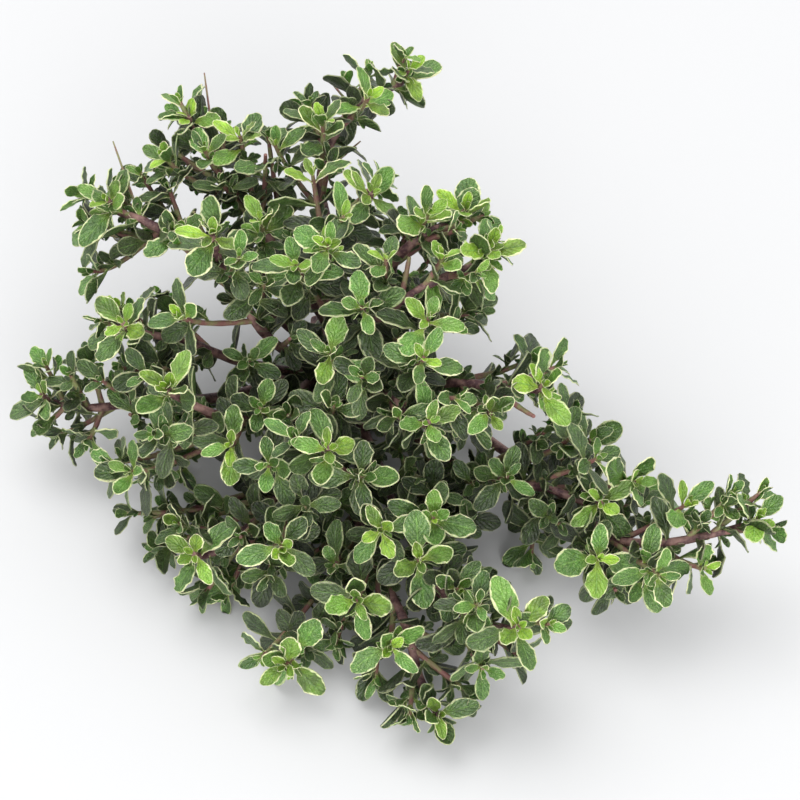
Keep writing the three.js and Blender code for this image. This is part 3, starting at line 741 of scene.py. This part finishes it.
stemLook = {
    "bark": (0.055, 0.022, 0.026),
    "barkLight": (0.22, 0.125, 0.105),
    "shoot": (0.18, 0.08, 0.07),
    "shootGreen": (0.18, 0.20, 0.075),
    "cutWood": (0.42, 0.36, 0.20),
    "cutRing": (0.26, 0.22, 0.10),
    "roughness": 0.6,
    "specular": 0.35,
    "patchScale": 420,
    "fineScale": 1900,
    "detail": 3,
    "patchRange": (0.38, 0.66),
    "fineRange": (0.5, 0.75, 0, 0.55),
    "reliefDepth": 0.25 * mm,
}


def stemMaterial(name, dark, light):
    look = stemLook
    material, nodes, links, shader = newMaterial(name, look["roughness"], look["specular"])
    place = nodes.new("ShaderNodeTexCoord").outputs["Object"]
    patch = noise(nodes, links, place, look["patchScale"], look["detail"])
    fine = noise(nodes, links, place, look["fineScale"], look["detail"])
    colour = blend(nodes, links, ramp(nodes, links, patch, *look["patchRange"]), dark, light)
    colour = blend(nodes, links, ramp(nodes, links, fine, *look["fineRange"]), colour, look["barkLight"])
    links.new(colour, shader.inputs["Base Color"])
    bump(nodes, links, shader, mathNode(nodes, links, "ADD", fine, patch), look["reliefDepth"])
    return material


leafUpper = leafMaterial("leafUpper", True)
leafUnder = leafMaterial("leafUnder", False)
barkMaterial = stemMaterial("purpleBrownBark", stemLook["bark"], stemLook["barkLight"])
cutMaterial = stemMaterial("cutWood", stemLook["cutWood"], stemLook["cutRing"])
shootMaterial = stemMaterial("youngShootSkin", stemLook["shoot"], stemLook["shootGreen"])

forms = {}
for formName, form in leafForms["forms"].items():
    forms[formName] = makeLeafForm(formName, form)
    forms[formName].data.materials.append(leafUpper)
    forms[formName].data.materials.append(leafUnder)
print("leaf forms modelled:", {name: len(leaf.data.polygons) for name, leaf in forms.items()})


# Where the leaves go

placedPoints = {}


def cellOf(point):
    return tuple(int(c // leafHabit["cellSize"]) for c in point)


def isFree(points, owner):
    for point in points:
        x, y, z = cellOf(point)
        for cell in ((x + i, y + j, z + k) for i in (-1, 0, 1) for j in (-1, 0, 1) for k in (-1, 0, 1)):
            for other, otherOwner in placedPoints.get(cell, ()):
                if otherOwner != owner and (other - point).length < leafHabit["clearance"]:
                    return False
    return True


def claim(points, owner):
    for point in points:
        placedPoints.setdefault(cellOf(point), []).append((point, owner))


lowCorner = cadBox[0] / mm + groundMiddle / mm
highCorner = cadBox[1] / mm + groundMiddle / mm
cameraPlace = bpy.context.scene.camera.location / mm + groundMiddle / mm


def gapSights():
    # the direction from the camera through each gap, and the gap's radius at a distance of 1
    turn = Matrix.Rotation(quarterTurn - math.radians(cameraLook["elevation"]), 3, "X")
    middle = lightGaps["pictureWidth"] / 2
    focal = lightGaps["pictureWidth"] * cameraLook["focalLength"] / cameraLook["sensorWidth"]
    return [((turn @ Vector((across - middle, middle - down, -focal))).normalized(), radius / focal)
            for places in lightGaps["places"].values() for across, down, radius in places]


sights = gapSights()


def showsLight(point, margin):
    # whether the point lies in a gap, or nearer to one than the margin
    fromCamera = point - cameraPlace
    away = fromCamera.length
    return any(fromCamera.cross(sight).length < radius * away + margin for sight, radius in sights)


def shadeAt(point):
    # how many growing tips stand above this place, which sets the painted shade on a leaf there
    above = 0
    for tip in growingTips:
        if tip.z > point.z + leafHabit["shadeRise"] and (tip - point).xy.length < leafHabit["shadeReach"]:
            above += 1
    return min(1, above / leafHabit["shadeTips"])


def insideBox(point):
    margin = leafHabit["boxMargin"]
    return all(low + margin < c < high - margin for low, c, high in zip(lowCorner, point, highCorner))


def addLeaf(leaves, root, direction, normal, length, age, seed, owner, must):
    roll = leafHabit["rollJitter"] * jitter(*seed, "roll")
    normal = normal * math.cos(roll) + direction.cross(normal) * math.sin(roll)
    # a leaf near the table lies along it, and none leaves the box of the solids
    below = leafHabit["lowestTip"] - (root + direction * length).z
    if below > 0:
        direction = (direction + Vector((0, 0, below / length))).normalized()
    for attempt in range(leafHabit["shrinkTries"]):
        if insideBox(root + direction * length):
            break
        length *= leafHabit["shrinkStep"]
    tip = root + direction * length
    if min(root.z, tip.z) < leafHabit["flatHeight"]:
        normal = normal.normalized() + leafHabit["flatTurn"] * Vector((0, 0, 1))
    across = direction.cross(normal).normalized()
    normal = across.cross(direction)
    points = [root + direction * length * share for share in leafHabit["testShares"]]
    margin = 0 if must else lightGaps["halfWidth"] * length
    if any(showsLight(point, margin) for point in points):
        return
    if not must and not isFree(points, owner):
        return
    claim(points, owner)
    # painted shade: a leaf under higher growing tips has its age value raised, so it is coloured darker
    age += leafHabit["shadeAge"] * shadeAt(root)
    leaves.append({"root": root, "direction": direction, "normal": normal, "across": across,
                   "length": length, "age": age, "seed": seed})


def leavesOnAxis(leaves, stemIndex, axisIndex, axis):
    rings = axis["rings"]
    total = lengthOf(rings)
    owner = (stemIndex, axisIndex)
    extra = axis["kind"] == "extra"
    pairs = list(leafHabit["pairs"])
    while pairs[-1][0] < total:
        pairs.append((pairs[-1][0] + leafHabit["lowerSpacing"], *leafHabit["lowerPair"]))
    for number, (fromTip, length, spread, age) in enumerate(pairs):
        if fromTip > total * leafHabit["leafyShare"]:
            break
        place = placeFromTip(rings, fromTip)
        tangent = place["tangent"].normalized()
        side = place["side"].normalized()
        rise = side.cross(tangent)
        kept = number < leafHabit["keptPairs"] and not extra
        leafAge = age + (leafHabit["extraAge"] if extra else 0)
        for opposite in (0, 1):
            seed = (stemIndex, axisIndex, number * 2 + opposite)
            turn = axisIndex + (number + 2 * opposite) * quarterTurn
            turn += leafHabit["turnJitter"] * jitter(*seed, "turn")
            angle = math.radians(spread + leafHabit["spreadJitter"] * jitter(*seed, "spread"))
            grown = length * axis["size"] * (1 + leafHabit["lengthJitter"] * jitter(*seed, "length"))
            outward = side * math.cos(turn) + rise * math.sin(turn)
            direction = tangent * math.cos(angle) + outward * math.sin(angle)
            normal = tangent * math.sin(angle) - outward * math.cos(angle)
            root = place["centre"] + outward * leafHabit["rootOffset"]
            addLeaf(leaves, root, direction, normal, grown, leafAge, seed, owner, kept)
            if number >= leafHabit["firstAxil"] and jitter(*seed, "bud") < leafHabit["axilShare"]:
                addBud(leaves, place["centre"], tangent, outward, seed, owner, leafAge)


def addBud(leaves, centre, tangent, outward, seed, owner, age):
    habit = budHabit
    stemIndex, axisIndex, key = seed
    lean = math.radians(habit["lean"] + habit["leanJitter"] * jitter(*seed, "budLean"))
    heading = tangent * math.cos(lean) + outward * math.sin(lean)
    sideways = heading.cross(tangent).normalized()
    lift = sideways.cross(heading)
    size = habit["size"] + habit["sizeJitter"] * jitter(*seed, "budSize")
    for i, (inwards, length) in enumerate(habit["pairs"]):
        root = centre + heading * (habit["reach"] - inwards) * size
        leafAge = habit["age"] + age * habit["ageShare"] - habit["ageStep"] * i
        spread = habit["angle"] - habit["angleStep"] * i
        angle = math.radians(spread + habit["angleJitter"] * jitter(*seed, "budAngle", i))
        for opposite in (0, 1):
            turn = (i + 2 * opposite) * quarterTurn + habit["turnJitter"] * jitter(*seed, "budTurn", i)
            around = sideways * math.cos(turn) + lift * math.sin(turn)
            direction = heading * math.cos(angle) + around * math.sin(angle)
            normal = heading * math.sin(angle) - around * math.cos(angle)
            leafKey = key * habit["keyStep"] + i * 2 + opposite + habit["keyStart"]
            addLeaf(leaves, root, direction, normal, length * size, leafAge, (stemIndex, axisIndex, leafKey),
                    owner, False)


def addLeafMesh(leaf, collection):
    seed = leaf["seed"]
    if leaf["length"] < leafHabit["youngFormLength"]:
        stage = "young"
    else:
        stage = "old" if leaf["age"] > leafHabit["oldFormAge"] else "grown"
    names = [name for name in forms if name.startswith(stage)]
    pick = (jitter(*seed, "form") + 1) / 2
    mesh = forms[names[min(len(names) - 1, int(pick * len(names)))]].data.copy()
    scale = leaf["length"] * mm / leafForms["length"]
    wide = scale * (1 + leafHabit["widthJitter"] * jitter(*seed, "width"))
    columns = Matrix((leaf["across"] * wide, leaf["direction"] * scale, leaf["normal"] * scale))
    matrix = columns.transposed().to_4x4()
    matrix.translation = leaf["root"] * mm - groundMiddle
    mesh.transform(matrix)
    for vertex in mesh.vertices:
        vertex.co.z = max(vertex.co.z, leafHabit["lowestPoint"] * mm)
        vertex.co.y = min(vertex.co.y, cadBox[1].y)
    age = leaf["age"] + leafHabit["ageJitter"] * jitter(*seed, "age")
    values = {"age": min(leafHabit["oldestAge"], max(0, age))}
    for use in ("tone", "rim"):
        middle, most = leafHabit[use]
        values[use] = middle + most * jitter(*seed, use)
    for attributeName, value in values.items():
        layer = mesh.attributes.new(attributeName, "FLOAT", "POINT")
        layer.data.foreach_set("value", [value] * len(mesh.vertices))
    thing = bpy.data.objects.new("leaf", mesh)
    bpy.context.collection.objects.link(thing)
    collection.append(thing)


def joinAll(things, name):
    bpy.ops.object.select_all(action="DESELECT")
    for thing in things:
        thing.select_set(True)
    bpy.context.view_layer.objects.active = things[0]
    bpy.ops.object.join()
    things[0].name = name
    things[0].data.name = name
    return things[0]


def makeStems(name, axes):
    curve = bpy.data.curves.new(name, "CURVE")
    curve.dimensions = "3D"
    curve.bevel_depth = mm
    curve.bevel_resolution = bunchShape["roundness"]
    curve.use_fill_caps = True
    curve.materials.append(barkMaterial)
    curve.materials.append(shootMaterial)
    for number, axis in enumerate(axes):
        rings = axis["rings"]
        spline = curve.splines.new("POLY")
        spline.points.add(len(rings) - 1)
        spline.use_smooth = True
        spline.material_index = 1 if number else 0
        kind = "shoot" if axis["kind"] == "extra" else axis["kind"]
        first, last = bunchShape[kind + "Radius"], bunchShape[kind + "TipRadius"]
        for i, ring in enumerate(rings):
            centre = ring["centre"] * mm - groundMiddle
            radius = first + (last - first) * (i / (len(rings) - 1)) ** bunchShape["taper"]
            centre.z = max(centre.z, radius * mm)
            spline.points[i].co = (*centre, 1)
            swollen = i % bunchShape["nodeEvery"] == 1
            spline.points[i].radius = radius * (1 + bunchShape["nodeSwell"] * swollen)
    stems = bpy.data.objects.new(name, curve)
    bpy.context.collection.objects.link(stems)
    bpy.ops.object.select_all(action="DESELECT")
    stems.select_set(True)
    bpy.context.view_layer.objects.active = stems
    bpy.ops.object.convert(target="MESH")
    mesh = bpy.context.object.data
    mesh.materials.append(cutMaterial)
    cutY = (bunchShape["cutEndY"] - bunchShape["cutReach"]) * mm - groundMiddle.y
    for polygon in mesh.polygons:
        if polygon.center.y > cutY and polygon.normal.y > bunchShape["cutFacing"]:
            polygon.material_index = len(mesh.materials) - 1
    return bpy.context.object


allAxes = [axesOf(i, stem) for i, stem in enumerate(leafyStems.values())]
growingTips = [axis["rings"][-1]["centre"] for axes in allAxes for axis in axes if axis["kind"] != "twig"]
leafCount = 0
triangleCount = 0
leavesByStem = [[] for stem in leafyStems]
for wanted in ("stem", "shoot", "extra"):
    for stemIndex, axes in enumerate(allAxes):
        for axisIndex, axis in enumerate(axes):
            if axis["kind"] == wanted:
                leavesOnAxis(leavesByStem[stemIndex], stemIndex, axisIndex, axis)

for stemIndex, name in enumerate(leafyStems):
    things = []
    for leaf in leavesByStem[stemIndex]:
        addLeafMesh(leaf, things)
    leafCount += len(things)
    leaves = joinAll(things, "leaves_" + name)
    stems = makeStems("stems_" + name, allAxes[stemIndex])
    for piece in (leaves, stems):
        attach(piece, "root")
        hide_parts("leafy_stem_" + name)
        triangleCount += sum(len(p.vertices) - 2 for p in piece.data.polygons)
print("leafy stems made:", leafCount, "leaves,", triangleCount, "triangles")

for leaf in forms.values():
    bpy.data.objects.remove(leaf)


# Floor and light

studioLook = {
    "floorSize": 3.0,
    "floor": (0.49, 0.49, 0.49),
    "floorRoughness": 0.8,
    "floorSpecular": 0.2,
    "world": (0.97, 0.98, 1.0),
    "worldStrength": 1.25,
    "keyPower": 10,
    "keySize": 0.9,
    "keyPlace": Vector((-0.3, 0.3, 1.2)),
    "fillPower": 14,
    "fillSize": 1.0,
    "fillPlace": Vector((0.15, -1.1, 0.5)),
}


def addStudio(look):
    bpy.context.scene.view_settings.view_transform = "Standard"
    bpy.ops.object.select_all(action="DESELECT")
    bpy.ops.mesh.primitive_plane_add(size=look["floorSize"], location=(0, 0, 0))
    floor = bpy.context.object
    floor.name = "paleFloor"
    material, nodes, links, shader = newMaterial("paleFloor", look["floorRoughness"], look["floorSpecular"])
    shader.inputs["Base Color"].default_value = (*look["floor"], 1)
    floor.data.materials.append(material)
    world = bpy.data.worlds.new("paleRoom")
    world.use_nodes = True
    background = world.node_tree.nodes["Background"]
    background.inputs["Color"].default_value = (*look["world"], 1)
    background.inputs["Strength"].default_value = look["worldStrength"]
    bpy.context.scene.world = world
    for name, use in (("softWindow", "key"), ("softFill", "fill")):
        place = look[use + "Place"]
        turn = (-place).to_track_quat("-Z", "Y").to_euler()
        bpy.ops.object.light_add(type="AREA", location=place, rotation=turn)
        light = bpy.context.object
        light.name = name
        light.data.energy = look[use + "Power"]
        light.data.size = look[use + "Size"]


addStudio(studioLook)
print("floor and light placed")
